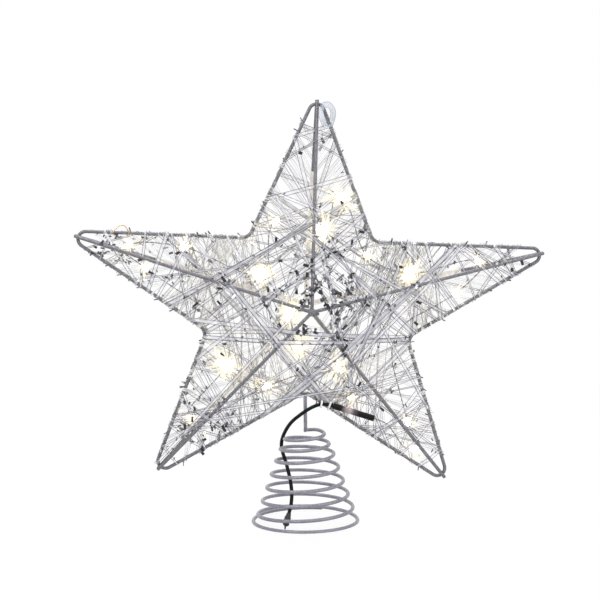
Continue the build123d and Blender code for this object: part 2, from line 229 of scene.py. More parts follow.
# Materials: low and high are the ends of a noise's colours, scales are per metre
GRAIN_DETAIL, GRAIN_SPAN = 3.0, (0.35, 0.65)
BUMP_DETAIL, BUMP_DISTANCE = 2.0, 0.0002


def shader(name, color, roughness, metallic=0.0, alpha=1.0, **more):
    """A principled material with uniform values on its own sockets."""
    m = bpy.data.materials.new(name)
    m.use_nodes = True
    b = m.node_tree.nodes["Principled BSDF"]
    b.inputs["Base Color"].default_value = (*color, 1.0)
    b.inputs["Roughness"].default_value = roughness
    b.inputs["Metallic"].default_value = metallic
    b.inputs["Alpha"].default_value = alpha
    for key, value in more.items():
        b.inputs[key.replace("_", " ")].default_value = value
    return m


def grain(m, low, high, scale, bump_scale=None, bump=0.0, rough=None):
    """Uneven colour, roughness and surface, from noise in the object's own space."""
    nodes, links = m.node_tree.nodes, m.node_tree.links
    b = nodes["Principled BSDF"]
    place = nodes.new("ShaderNodeTexCoord")
    noise = nodes.new("ShaderNodeTexNoise")
    noise.inputs["Scale"].default_value = scale
    noise.inputs["Detail"].default_value = GRAIN_DETAIL
    links.new(place.outputs["Object"], noise.inputs["Vector"])
    if low is not None:
        ramp = nodes.new("ShaderNodeValToRGB")
        tones = ramp.color_ramp.elements
        tones[0].position, tones[1].position = GRAIN_SPAN
        tones[0].color, tones[1].color = (*low, 1.0), (*high, 1.0)
        links.new(noise.outputs["Fac"], ramp.inputs["Fac"])
        links.new(ramp.outputs["Color"], b.inputs["Base Color"])
    if rough is not None:
        spread = nodes.new("ShaderNodeMapRange")
        spread.inputs["To Min"].default_value, spread.inputs["To Max"].default_value = rough
        links.new(noise.outputs["Fac"], spread.inputs["Value"])
        links.new(spread.outputs["Result"], b.inputs["Roughness"])
    if bump_scale is not None:
        fine = nodes.new("ShaderNodeTexNoise")
        fine.inputs["Scale"].default_value = bump_scale
        fine.inputs["Detail"].default_value = BUMP_DETAIL
        links.new(place.outputs["Object"], fine.inputs["Vector"])
        height = nodes.new("ShaderNodeBump")
        height.inputs["Strength"].default_value = bump
        height.inputs["Distance"].default_value = BUMP_DISTANCE
        links.new(fine.outputs["Fac"], height.inputs["Height"])
        links.new(height.outputs["Normal"], b.inputs["Normal"])
    return m


frame_paint = grain(
    shader("frame_paint", (0.15, 0.15, 0.16), 0.4, metallic=0.3),
    (0.09, 0.09, 0.10), (0.21, 0.21, 0.23), 1500, bump_scale=3500, bump=0.35, rough=(0.32, 0.5),
)
spring_paint = grain(
    shader("spring_paint", (0.255, 0.25, 0.295), 0.3, metallic=0.1),
    (0.17, 0.166, 0.20), (0.30, 0.29, 0.345), 1600, bump_scale=3500, bump=0.3, rough=(0.2, 0.36),
)
film = grain(
    shader("ribbon_film", (0.46, 0.46, 0.52), 0.15, alpha=0.11),
    (0.36, 0.36, 0.42), (0.58, 0.58, 0.64), 260, rough=(0.08, 0.25),
)
film_edge = grain(
    shader("ribbon_edge", (0.12, 0.12, 0.14), 0.2, alpha=0.55),
    (0.07, 0.07, 0.09), (0.20, 0.20, 0.23), 300, rough=(0.12, 0.3),
)
pale_film = grain(
    shader("ribbon_film_pale", (0.72, 0.72, 0.78), 0.18, alpha=0.38),
    (0.60, 0.60, 0.67), (0.84, 0.84, 0.90), 260, rough=(0.1, 0.28),
)
pale_edge = grain(
    shader("ribbon_edge_sharp", (0.085, 0.085, 0.10), 0.25, alpha=0.86),
    (0.05, 0.05, 0.06), (0.15, 0.15, 0.17), 300, rough=(0.15, 0.35),
)
curl_film = grain(
    shader("ribbon_curl", (0.38, 0.42, 0.51), 0.2, alpha=0.6),
    (0.26, 0.30, 0.39), (0.52, 0.56, 0.66), 900, rough=(0.1, 0.28),
)
thread = grain(
    shader("fine_thread", (0.22, 0.215, 0.22), 0.35, alpha=0.85),
    (0.13, 0.125, 0.13), (0.34, 0.33, 0.33), 500,
)
fibre = grain(
    shader("lit_fibre", (0.80, 0.79, 0.76), 0.3, alpha=0.8),
    (0.70, 0.69, 0.66), (0.90, 0.89, 0.86), 500,
)
# Fibres round the lamps glow though they are no lamps: painted glow, an emission and a warm base colour
# standing in for the lamps' light on them
painted_glow_core = grain(
    shader("fibre_core_painted_glow", (0.92, 0.90, 0.84), 0.3, alpha=0.92,
           Emission_Color=(1.0, 0.96, 0.84, 1.0), Emission_Strength=0.9),
    (0.88, 0.86, 0.80), (0.95, 0.94, 0.90), 500,
)
painted_glow_fringe = grain(
    shader("fibre_fringe_painted_glow", (0.88, 0.82, 0.64), 0.3, alpha=0.42,
           Emission_Color=(1.0, 0.86, 0.54, 1.0), Emission_Strength=0.5),
    (0.81, 0.74, 0.55), (0.94, 0.89, 0.73), 500,
)
# One silver foil in three copies: the dark and grey ones are painted reflection, the silver one reflects as
# metal
foil_dark_reflection = grain(
    shader("foil_dark_reflection", (0.018, 0.018, 0.02), 0.45, Specular_IOR_Level=0.25),
    (0.010, 0.010, 0.012), (0.035, 0.035, 0.04), 700, rough=(0.35, 0.55),
)
foil_grey_reflection = grain(
    shader("foil_grey_reflection", (0.13, 0.13, 0.14), 0.4, metallic=0.3),
    (0.07, 0.07, 0.08), (0.20, 0.20, 0.22), 700, rough=(0.3, 0.5),
)
foil_silver = grain(
    shader("foil_silver", (0.62, 0.62, 0.64), 0.25, metallic=0.8),
    (0.50, 0.50, 0.53), (0.74, 0.74, 0.77), 700, rough=(0.15, 0.35),
)
lamp_wire = grain(
    shader("lamp_wire", (0.16, 0.15, 0.14), 0.4, metallic=0.3),
    (0.10, 0.095, 0.09), (0.24, 0.225, 0.20), 600,
)
# Painted light: the warm orange colour stands in for the near lamp's light on a loop of the dark lamp wire
wire_painted_warm_light = grain(
    shader("wire_painted_warm_light", (0.55, 0.36, 0.18), 0.35, metallic=0.7),
    (0.42, 0.27, 0.13), (0.66, 0.46, 0.25), 600,
)
jacket = grain(
    shader("lead_jacket", (0.004, 0.007, 0.007), 0.42, Specular_IOR_Level=0.1),
    (0.002, 0.004, 0.004), (0.007, 0.011, 0.011), 400, bump_scale=1800, bump=0.12, rough=(0.35, 0.5),
)
# The sleeve's colour, dark with a painted highlight band along it, is made with the lamp string
shrink = grain(
    shader("sleeve", (0.006, 0.005, 0.006), 0.5, Specular_IOR_Level=0.15),
    None, None, 350, bump_scale=900, bump=0.4, rough=(0.35, 0.6),
)
moulding = grain(
    shader("connector", (0.016, 0.016, 0.016), 0.5),
    (0.012, 0.012, 0.012), (0.024, 0.024, 0.024), 500, bump_scale=2500, bump=0.15, rough=(0.4, 0.6),
)
tie_film = grain(
    shader("clear_tie", (0.85, 0.85, 0.86), 0.2, alpha=0.75),
    (0.78, 0.78, 0.80), (0.92, 0.92, 0.93), 300, rough=(0.1, 0.3),
)
resin = grain(
    shader("lamp_resin", (1.0, 0.95, 0.82), 0.1,
           Emission_Color=(1.0, 0.86, 0.55, 1.0), Emission_Strength=6.0),
    (0.98, 0.90, 0.72), (1.0, 0.97, 0.88), 400,
)

# Star frame: the outline wire, then at the front and the back five ridge wires and their weld
TIP_STEPS, NOTCH_STEPS = 18, 10
OUTLINE_SIDES, RIDGE_SIDES, WELD_SIDES = 14, 12, 14
RIDGE_STEPS, RIDGE_GAP, RIDGE_PAST = 16, 0.00005, 0.0012
# Round ends of the ridges: distance past the end, share of the radius
RIDGE_CAP = ((0.0003, 0.8), (0.0004, 0.4))
WELD_PROFILE = (
    (-0.0015, 0.0008), (-0.0012, 0.0019), (-0.0004, 0.0026),
    (0.0006, 0.0026), (0.0012, 0.0019), (0.0015, 0.0008),
)

outline_points = []
for i, corner in enumerate(loop):
    before, after = loop[i - 1], loop[(i + 1) % len(loop)]
    bend, steps = (TIP_BEND, TIP_STEPS) if i % 2 == 0 else (NOTCH_BEND, NOTCH_STEPS)
    a = (before - corner) / np.linalg.norm(before - corner)
    b = (after - corner) / np.linalg.norm(after - corner)
    half = math.acos(max(-1.0, min(1.0, float(a @ b)))) / 2
    middle = corner + (a + b) / np.linalg.norm(a + b) * (bend / math.sin(half))
    first = corner + a * (bend / math.tan(half)) - middle
    last = corner + b * (bend / math.tan(half)) - middle
    sweep = math.atan2(cross2(first, last), float(first @ last))
    for j in range(steps + 1):
        p = middle + turned(first, sweep * j / steps)
        outline_points.append(star(*p))
outline = new_mesh(
    "outline_wire_round",
    *tube_data(outline_points, FRAME_RADIUS, OUTLINE_SIDES, closed=True, normal=FORWARD),
    [frame_paint],
)
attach(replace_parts(outline, "outline_wire"), "star")


def ridge_line(sign, k):
    """A ridge wire's ends, just past the tip's outline wire and at the hub."""
    hub = star(0, 0, sign * HUB_HEIGHT)
    crossing = star(*apexes[k], sign * (FRAME_RADIUS * 2 + RIDGE_GAP))
    return crossing + (crossing - hub).normalized() * (FRAME_RADIUS + RIDGE_PAST), hub


for side, sign in (("front", 1), ("back", -1)):
    wires = []
    for k in range(5):
        tip_end, hub = ridge_line(sign, k)
        way = (tip_end - hub).normalized()
        line = [hub.lerp(tip_end, i / RIDGE_STEPS) for i in range(RIDGE_STEPS + 1)]
        radii = [FRAME_RADIUS] * len(line) + [FRAME_RADIUS * share for _, share in RIDGE_CAP]
        line += [tip_end + way * past for past, _ in RIDGE_CAP]
        wires.append(tube_data(line, radii, RIDGE_SIDES))
    wires.append(turned_data(hub, heading(0, 0, sign), WELD_PROFILE, WELD_SIDES))
    ridges = new_mesh(side + "_ridges", *merged(wires), [frame_paint])
    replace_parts(ridges, side + "_hub", *(side + "_ridge_" + name for name in ARMS))
    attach(ridges, "star")

# Cone spring and stem, one round wire
SPRING_RADIUS = 0.0012
COIL_BASE, COIL_TOP, COIL_HEIGHT = 0.036, 0.0122, 0.0575
OPEN_TURNS, CLOSED_TURNS, CLOSED_PITCH = 5, 2, 0.0066
COIL_START, COIL_END = 69.0, 2880.0
RING_HEIGHT, STEM_BEND, STEM_TOP = 0.0007, 0.0035, 0.08335
COIL_STEPS, TURN_STEPS, STEM_STEPS, SPRING_SIDES = 520, 12, 10, 14
EASE, END_STEP = 1.18, 4.0
open_pitch = (COIL_HEIGHT - CLOSED_TURNS * CLOSED_PITCH) / OPEN_TURNS


def coil(angle):
    """A point of the coil's centre line: a closed base ring, open turns, then closer ones."""
    turns = max(0.0, angle / 360 - 1)
    wound = (angle - COIL_START) / (COIL_END - COIL_START)
    radius = COIL_BASE - (COIL_BASE - COIL_TOP) * wound
    opened = min(turns, OPEN_TURNS)
    a = math.radians(angle)
    return Vector((
        radius * math.cos(a), radius * math.sin(a),
        RING_HEIGHT + opened * open_pitch + (turns - opened) * CLOSED_PITCH,
    ))


def eased(p, p_dir, q, q_dir, steps):
    """A smooth turn from one point and direction to another."""
    reach = (q - p).length * EASE
    out = []
    for i in range(1, steps + 1):
        t = i / steps
        out.append(
            p * (2 * t**3 - 3 * t**2 + 1) + p_dir * (reach * (t**3 - 2 * t**2 + t))
            + q * (3 * t**2 - 2 * t**3) + q_dir * (reach * (t**3 - t**2))
        )
    return out


spring_points = [
    coil(COIL_START + (COIL_END - COIL_START) * i / COIL_STEPS) for i in range(COIL_STEPS + 1)
]
end_dir = (coil(COIL_END + END_STEP) - coil(COIL_END - END_STEP)).normalized()
inner = Vector((COIL_TOP / 2, COIL_TOP / 2, spring_points[-1].z + CLOSED_PITCH / 4))
turn_in = Vector((0, STEM_BEND, inner.z))
spring_points += eased(spring_points[-1], end_dir, inner, Vector((-1, 0, 0)), TURN_STEPS)
spring_points += eased(inner, Vector((-1, 0, 0)), turn_in, FORWARD, STEM_STEPS)
for i in range(1, TURN_STEPS + 1):
    a = math.pi / 2 * i / TURN_STEPS
    spring_points.append(
        Vector((0, STEM_BEND * (1 - math.sin(a)), inner.z + STEM_BEND * (1 - math.cos(a))))
    )
stem_low = spring_points[-1].z
for i in range(1, STEM_STEPS + 1):
    spring_points.append(Vector((0, 0, stem_low + (STEM_TOP - stem_low) * i / STEM_STEPS)))
verts, faces = tube_data(spring_points, SPRING_RADIUS, SPRING_SIDES)
verts = [Vector((v.x, v.y, max(v.z, 0.0))) for v in verts]
spring = new_mesh("spring_wire", verts, faces, [spring_paint])
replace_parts(spring, "base_spring")
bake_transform(spring)

# Supply lead, from the sleeve past the stem and down inside the spring
LEAD_RADIUS, LEAD_SIDES = 0.0012, 14
LEAD_ROUTE = (
    (0.017122, -0.008048, 0.077841),
    (0.0110, -0.0062, 0.0792),
    (0.0032, -0.0068, 0.0766),
    (-0.0042, -0.0050, 0.0714),
    (-0.0096, 0.0020, 0.0656),
    (-0.0136, 0.0094, 0.0576),
    (-0.0156, 0.0138, 0.0500),
    (-0.0147, 0.0126, 0.0439),
    (-0.0129, 0.0086, 0.0388),
    (-0.0116, 0.0040, 0.0334),
    (-0.0104, 0.0004, 0.0276),
    (-0.0097, -0.0026, 0.0214),
    (-0.0100, -0.0060, 0.0156),
    (-0.0112, -0.0104, 0.0112),
    (-0.0126, -0.0148, 0.0082),
)
lead_line = spline_points(LEAD_ROUTE)
lead = new_mesh("supply_lead", *tube_data(lead_line, LEAD_RADIUS, LEAD_SIDES), [jacket])
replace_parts(lead, "power_lead")
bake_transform(lead)
for name, m in (
    ("lead_connector", moulding), ("lead_sleeve", shrink), ("lead_tie_1", tie_film), ("lead_tie_2", tie_film),
):
    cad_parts[name].data.materials.clear()
    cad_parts[name].data.materials.append(m)

# Lamp string: a twisted pair of fine wires through every lamp.
# Each row is a lamp or a turn of the string, at shares of the star's half width and of its height.
STRING_SHARES = (
    ("turn", 0.385, -0.325), ("lamp", 0.490, -0.377), ("lamp", 0.450, -0.300), ("turn", 0.330, -0.060),
    ("lamp", 0.640, 0.057), ("lamp", 0.730, 0.146), ("lamp", 0.430, 0.106), ("lamp", 0.240, 0.150),
    ("lamp", 0.120, 0.301), ("lamp", 0.034, 0.215), ("lamp", -0.160, 0.234), ("lamp", -0.220, 0.090),
    ("lamp", -0.547, 0.155), ("lamp", -0.787, 0.153), ("lamp", -0.713, 0.096), ("turn", -0.340, -0.050),
    ("lamp", -0.350, -0.158), ("lamp", -0.493, -0.310), ("lamp", -0.170, -0.213), ("turn", 0.000, -0.172),
    ("lamp", 0.200, -0.237), ("lamp", 0.130, -0.144), ("lamp", -0.044, -0.098), ("lamp", -0.090, -0.008),
)
LAMP_RUN, LAMP_DROP, TURN_DROP = 0.013, 0.0013, 0.004
SLEEVE_END = Vector((0.044001, -0.012560, 0.069346))
SLEEVE_WAY = Vector((0.94153, -0.15803, -0.29758))
STRING_START, STRING_TAIL, STRING_RESOLUTION = 0.007, 0.0068, 10
TWIST_PITCH, PAIR_OFFSET, PAIR_RADIUS, PAIR_SIDES = 0.007, 0.00026, 0.00021, 6

# The sleeve has a painted highlight, a pale pinkish band in its middle: places along it, from its lead end,
# and tones
SLEEVE_DARK, SLEEVE_SPAN = (0.006, 0.005, 0.006, 1.0), (0.22, 0.64)
SLEEVE_HIGHLIGHT = (
    (0.32, (0.26, 0.21, 0.225, 1.0)), (0.42, (0.42, 0.36, 0.375, 1.0)), (0.52, (0.09, 0.07, 0.078, 1.0)),
)
nodes, links = shrink.node_tree.nodes, shrink.node_tree.links
spot = nodes.new("ShaderNodeTexCoord")
along = nodes.new("ShaderNodeVectorMath")
along.operation = "DOT_PRODUCT"
along.inputs[1].default_value = SLEEVE_WAY
links.new(spot.outputs["Object"], along.inputs[0])
share = nodes.new("ShaderNodeMapRange")
share.inputs["From Min"].default_value = Vector(LEAD_ROUTE[0]).dot(SLEEVE_WAY)
share.inputs["From Max"].default_value = SLEEVE_END.dot(SLEEVE_WAY)
links.new(along.outputs["Value"], share.inputs["Value"])
# The ramp paints the highlight band into the sleeve's colour
band = nodes.new("ShaderNodeValToRGB")
tones = band.color_ramp.elements
tones[0].position, tones[1].position = SLEEVE_SPAN
tones[0].color = tones[1].color = SLEEVE_DARK
for at, tone in SLEEVE_HIGHLIGHT:
    tones.new(at).color = tone
links.new(share.outputs["Result"], band.inputs["Fac"])
links.new(band.outputs["Color"], nodes["Principled BSDF"].inputs["Base Color"])


def lamp_place(row):
    """A row's point, just under the front facets."""
    across, up = STAR_WIDTH / 2 * row[1], STAR_HEIGHT * row[2]
    return star(across, up, facet(across, up) - (LAMP_DROP if row[0] == "lamp" else TURN_DROP))


places = [lamp_place(row) for row in STRING_SHARES]
string_route = [SLEEVE_END, SLEEVE_END + SLEEVE_WAY * STRING_START]
lamp_spots = []
for i, row in enumerate(STRING_SHARES):
    here = places[i]
    last = places[i - 1] if i else SLEEVE_END
    after = places[i + 1] if i + 1 < len(places) else here + (here - last)
    if row[0] == "lamp":
        way = (after - last).normalized()
        lamp_spots.append((here, way))
        string_route += [here - way * (LAMP_RUN / 2), here + way * (LAMP_RUN / 2)]
    else:
        string_route.append(here)
string_route[-1] = here + way * STRING_TAIL
string_line = spline_points(string_route, STRING_RESOLUTION)
pair = []
for sign in (1, -1):
    wire, travelled = [], 0.0
    for i, p in enumerate(string_line):
        a, b = string_line[max(0, i - 1)], string_line[min(len(string_line) - 1, i + 1)]
        t = (b - a).normalized()
        side = t.cross(Vector((0, 1, 0)))
        side = side.normalized() if side.length > 1e-6 else t.orthogonal()
        travelled += (p - string_line[i - 1]).length if i else 0.0
        turn = travelled / TWIST_PITCH * 2 * math.pi
        wire.append(p + (side * math.cos(turn) + t.cross(side) * math.sin(turn)) * (PAIR_OFFSET * sign))
    pair.append(tube_data(wire, PAIR_RADIUS, PAIR_SIDES))
string = new_mesh("lamp_wires", *merged(pair), [lamp_wire])
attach(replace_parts(string, "lamp_string"), "star")

# Lamps: clear drops, lit warm
STRONG_LAMPS = (5, 7, 8, 10, 14, 18, 19, 20)
STRONG_GLOW, WEAK_GLOW, GLOW_COLOR, GLOW_SIZE = 0.05, 0.018, (1.0, 0.83, 0.52), 0.002
LAMP_SIDES = 14
LAMP_PROFILE = (
    (-0.0028, 0.0007), (-0.0024, 0.0012), (-0.0015, 0.00155), (-0.0004, 0.0016),
    (0.0008, 0.0015), (0.0018, 0.0012), (0.0025, 0.0008), (0.0028, 0.0004),
)
for i, (here, way) in enumerate(lamp_spots):
    v, f = turned_data(here, way, LAMP_PROFILE, LAMP_SIDES)
    drop = new_mesh(f"lamp_drop_{i + 1:02d}", v, f, [resin])
    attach(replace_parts(drop, f"lamp_{i + 1:02d}"), "star")
    glow = bpy.data.lights.new(f"lamp_glow_{i + 1:02d}", "POINT")
    glow.energy = STRONG_GLOW if i + 1 in STRONG_LAMPS else WEAK_GLOW
    glow.color = GLOW_COLOR
    glow.shadow_soft_size = GLOW_SIZE
    glow_obj = bpy.data.objects.new(glow.name, glow)
    glow_obj.location = here
    scene.collection.objects.link(glow_obj)
    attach(glow_obj, "star")

# Clear ribbon, wound over the frame
RIBBON_WIDTH, RIBBON_EDGE, RIBBON_LIFT, LAYER_LIFT = 0.0024, 0.00024, 0.00037, 0.00105
FOLD_STEPS, STRAND_STEPS, STRAND_END = 5, 24, 0.0004
SPOT_LENGTH = 0.006
FIELD_ACROSS, FIELD_UP, FIELD_STEP = (-0.15, 0.15), (-0.11, 0.13), 1e-3
FILM, EDGE, PALE, SHARP, FIBRE = range(5)
# Strips seen in the photograph, in millimetres from the star's centre: two points and the width of each
MEASURED = (
    (-20, 73, 21, 86, 2.8), (-20, 94, -11, 80, 2.2), (2, 106, 16, 99, 1.6), (-16, 97, -4, 106, 1.4),
    (-13, 111, 8, 118, 2.6), (5, 66, 13, 73, 2.0), (-25, 69, -11, 57, 1.6), (10, 41, 25, 55, 2.8),
    (11, 61, 33, 53, 2.2), (-27, 40, -10, 50, 2.0), (-31, 36, 1, 57, 1.4), (127, 35, 132, 28, 2.8),
    (120, 42, 129, 39, 1.4), (111, 31, 123, 22, 2.6), (117, 33, 127, 24, 1.8), (100, 27, 107, 13, 1.4),
    (80, 23, 85, 2, 2.6), (68, 19, 69, -10, 3.0), (63, 13, 85, 2, 2.2), (77, 28, 38, -9, 3.0),
    (61, 42, 74, 27, 2.4), (65, 43, 76, 30, 1.8), (93, 43, 78, 28, 3.0), (95, 40, 81, 30, 1.6),
    (39, 12, 65, -11, 2.8), (46, -16, 66, -17, 3.0), (99, 44, 117, 34, 1.8), (104, 44, 121, 35, 1.4),
    (55, 39, 46, 26, 1.6), (59, 39, 50, 26, 1.4), (-71, -21, -25, -20, 2.8), (-72, -34, -58, -58, 2.2),
    (-70, -36, -56, -55, 1.6), (-74, -39, -61, -60, 1.8), (-81, -54, -75, -68, 1.8),
    (-90, -77, -68, -74, 2.0), (-90, -80, -70, -79, 1.8), (-77, -86, -66, -93, 2.2),
    (-70, -80, -56, -85, 1.8), (-67, -70, -51, -79, 2.8), (-66, -72, -51, -83, 2.0),
    (-59, -64, -12, -47, 1.2), (-48, -65, -34, -62, 1.8), (-93, -91, -84, -102, 1.8),
    (-24, -16, -8, -34, 2.8), (-40, -37, -31, -26, 2.2), (-35, -7, -7, -40, 2.4), (-71, -21, -30, 7, 3.0),
    (-84, 4, -57, 21, 2.8), (40, -45, 65, -22, 2.8), (63, -64, 74, -51, 3.0), (29, -31, 38, -11, 2.6),
    (19, -12, 23, -27, 3.0), (10, -52, 21, -40, 2.4), (3, -45, 12, -59, 2.4), (77, -101, 90, -91, 2.4),
    (74, -83, 83, -73, 2.0), (36, -52, 50, -62, 1.6), (45, -80, 59, -70, 2.6), (52, -80, 72, -84, 1.2),
    (46, -48, 73, -42, 1.6), (48, -52, 74, -48, 1.2), (23, -26, 72, 23, 3.2), (23, -19, 65, -18, 3.0),
    (17, -10, 25, -26, 2.0), (5, 43, 30, 28, 1.6), (-69, 23, -24, 31, 1.4), (-104, 9, -93, 46, 2.8),
    (-112, 13, -126, 34, 2.4), (-109, 13, -108, 30, 2.0), (-135, 29, -129, 45, 1.4), (-98, 5, -86, 28, 2.2),
    (-77, -8, -86, 28, 1.8),
)


def edge_line(k, side):
    """The outline wire's straight run from a tip to the notch after or before it."""
    return star(*corners[k]), star(*(notches[k] if side == "after" else notches[k - 1]))


def outward(first, second, side):
    """The way out of the facet that holds two wires."""
    normal = (first[1] - first[0]).cross(second[1] - second[0]).normalized()
    return normal if (normal.y < 0) == (side == "front") else -normal


def chord(p, q):
    """Where the line through two points meets the outline, with the way out of the star at each end."""
    p, q = np.array(p), np.array(q)
    d = q - p
    hits = []
    for i in range(len(loop)):
        a, b = loop[i - 1], loop[i]
        e = b - a
        area = cross2(d, e)
        if abs(area) < 1e-12:
            continue
        t, u = cross2(a - p, e) / area, cross2(a - p, d) / area
        if 0 <= u <= 1:
            out = np.array((e[1], -e[0])) / np.linalg.norm(e)
            if inside((a + b) / 2 + out * 1e-4):
                out = -out
            hits.append((t, a + e * u, out))
    first = max((h for h in hits if h[0] < 0.5), key=lambda h: h[0])
    last = min((h for h in hits if h[0] > 0.5), key=lambda h: h[0])
    return first[1:], last[1:]


def random_chord(low, high):
    """A line across the star, longer than low and shorter than high, through a random place."""
    while True:
        p = np.array((rng.uniform(*FIELD_ACROSS), rng.uniform(*FIELD_UP)))
        angle = rng.uniform(0, math.pi)
        if inside(p):
            step = np.array((math.cos(angle), math.sin(angle))) * FIELD_STEP
            a, b = chord(p - step, p + step)
            if low < np.linalg.norm(b[0] - a[0]) < high:
                return a, b


def taut(a, b, face, lift):
    """A strand pulled tight over the front or back facets from one outline point to another."""
    (p, p_out), (q, q_out) = a, b
    ts = [i / STRAND_STEPS for i in range(STRAND_STEPS + 1)]
    hs = [facet(*(p + (q - p) * t)) for t in ts]
    hull = []
    for point in zip(ts, hs):
        while len(hull) > 1:
            (t0, h0), (t1, h1) = hull[-2], hull[-1]
            if (h1 - h0) * (point[0] - t0) <= (point[1] - h0) * (t1 - t0) + 1e-7:
                hull.pop()
            else:
                break
        hull.append(point)
    over = FRAME_RADIUS + lift
    end = FRAME_RADIUS + STRAND_END
    points = [(star(*(p + p_out * end)), heading(*p_out))]
    facing = heading(0, 0, face)
    for t, h in hull:
        points.append((star(*(p + (q - p) * t), face * (h + over)), facing))
    points.append((star(*(q + q_out * end)), heading(*q_out)))
    return points


class Strips:
    """Flat strands gathered into one mesh, each with a middle and two edges of their own materials."""

    def __init__(self):
        self.verts, self.faces, self.kinds, self.spots = [], [], [], []

    def add(self, points, width, edge, tilt=0.0, twist=0.0, kinds=(FILM, EDGE), sides=None):
        """A strand along points with their facings; kinds are its middle's and edges' materials."""
        base = len(self.verts)
        n = len(points)
        for i, (p, facing) in enumerate(points):
            d = (points[min(i + 1, n - 1)][0] - points[max(i - 1, 0)][0]).normalized()
            side = sides[i] if sides else d.cross(facing)
            if side.length < 1e-6:
                side = d.orthogonal()
            side = side.normalized()
            angle = tilt + twist * (i / (n - 1) - 0.5)
            if 0 < i < n - 1 and not sides:
                side = side * math.cos(angle) + d.cross(side) * math.sin(angle)
            for across in (-width / 2, -width / 2 + edge, width / 2 - edge, width / 2):
                self.verts.append(p + side * across)
        for i in range(n - 1):
            for j, kind in ((0, kinds[1]), (1, kinds[0]), (2, kinds[1])):
                r = base + i * 4 + j
                self.faces.append((r, r + 1, r + 5, r + 4))
                self.kinds.append(kind)
        for (p, f), (q, _) in zip(points, points[1:]):
            if (q - p).length > SPOT_LENGTH:
                self.spots.append((p, q, f))

    def wind(self, cycle, loops, lift):
        """One unbroken ribbon round a cycle of wires, folded over each."""
        count = len(cycle)
        points, sides = [], []
        for visit in range(loops * count + 1):
            line, side, first, last = cycle[visit % count]
            before_line, before_side = cycle[(visit - 1) % count][:2]
            d = (line[1] - line[0]).normalized()
            here = line[0] + d * (first + (last - first) * visit / (loops * count))
            arriving = outward(before_line, line, before_side)
            leaving = outward(line, cycle[(visit + 1) % count][0], side)
            steps = 1 if before_side == side else FOLD_STEPS
            turn = math.atan2(d.dot(arriving.cross(leaving)), arriving.dot(leaving))
            for i in range(steps + 1):
                way = Quaternion(d, turn * i / steps) @ arriving
                points.append((here + way * (FRAME_RADIUS + lift), way))
                sides.append(d)
        self.add(points, RIBBON_WIDTH, RIBBON_EDGE, sides=sides)

    def done(self, name, materials):
        """The strands as one piece."""
        return new_mesh(name, self.verts, self.faces, materials, self.kinds, smooth=False)


def stretches(order, start, end):
    """The cycle of an arm's wires, each wound from one share of its length to another."""
    rows = []
    for line, side in order:
        length = (line[1] - line[0]).length
        rows.append((line, side, length * start, length * end))
    return rows


# The arms: two layers of ribbon on each, and a curl of it at the top
INNER_SPAN, INNER_LOOPS = (0.15, 0.57), 5
OUTER_SPAN, OUTER_LOOPS = (0.19, 0.59), 4
CURL_WIDTH, CURL_EDGE, CURL_FACING, CURL_RESOLUTION = 0.0040, 0.0005, Vector((0.25, -1, 0.1)), 6
CURL_FRONT, CURL_RISE = 0.001, 0.0012
CURL = (
    (0.0085, 0.1175), (0.0112, 0.1250), (0.0094, 0.1308), (0.0052, 0.1324), (0.0022, 0.1290),
    (0.0030, 0.1220), (0.0062, 0.1168),
)
all_strips = []
for k, name in enumerate(ARMS):
    strips = Strips()
    front, behind = (ridge_line(1, k), "front"), (ridge_line(-1, k), "back")
    after, before = edge_line(k, "after"), edge_line(k, "before")
    one_way = (front, (after, "back"), behind, (before, "front"))
    other_way = (front, (before, "back"), behind, (after, "front"))
    strips.wind(stretches(one_way, *INNER_SPAN), INNER_LOOPS, RIBBON_LIFT)
    strips.wind(stretches(other_way, *OUTER_SPAN), OUTER_LOOPS, LAYER_LIFT)
    materials = [film, film_edge]
    if name == "top":
        route = [star(a, u, CURL_FRONT + CURL_RISE * i) for i, (a, u) in enumerate(CURL)]
        line = spline_points(route, CURL_RESOLUTION)
        strips.add([(p, CURL_FACING) for p in line], CURL_WIDTH, CURL_EDGE, kinds=(len(materials), EDGE))
        materials.append(curl_film)
    piece = strips.done("ribbon_" + name, materials)
    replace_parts(piece, "ribbon_inner_" + name, "ribbon_outer_" + name)
    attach(piece, "star")
    all_strips.append(strips)

# The middle: loops over two neighbouring arms, the measured strips and every other one behind them,
# short turns round the outline wire, and a pale band in front of each back ridge
CENTRE_RUN, CENTRE_LOOPS = 0.027, 3
STRIP_SCALE, STRIP_EDGE, STRIP_LIFT, STRIP_TILT, STRIP_TWIST = 0.00095, 0.00038, (0.0012, 0.0022), 0.12, 0.2
WRAPS, WRAP_STEPS, WRAP_TURNS, WRAP_EDGE = 9, 18, 1.5, 0.0002
WRAP_FIRST, WRAP_LAST = 0.34, 0.955
WRAP_PITCH, WRAP_LIFT, WRAP_WIDTH = (0.0012, 0.0024), (0.0001, 0.0003), (0.0009, 0.0020)
BAND_PLACES, BAND_DROP, BAND_WIDTH, BAND_EDGE = (0.02, 0.3, 0.5, 0.66), 0.0022, 0.0036, 0.0003
centre = Strips()
for k in range(5):
    j = (k + 1) % 5
    cycle = []
    for line, side, start in (
        (edge_line(k, "before"), "front", 0.012), (ridge_line(1, k), "front", 0.018),
        (ridge_line(1, j), "front", 0.0115), (edge_line(j, "after"), "back", 0.012),
        (ridge_line(-1, j), "back", 0.0115), (ridge_line(-1, k), "back", 0.0145),
    ):
        length = (line[1] - line[0]).length
        cycle.append((line, side, length - start, length - start - CENTRE_RUN))
    centre.wind(cycle, CENTRE_LOOPS, RIBBON_LIFT)
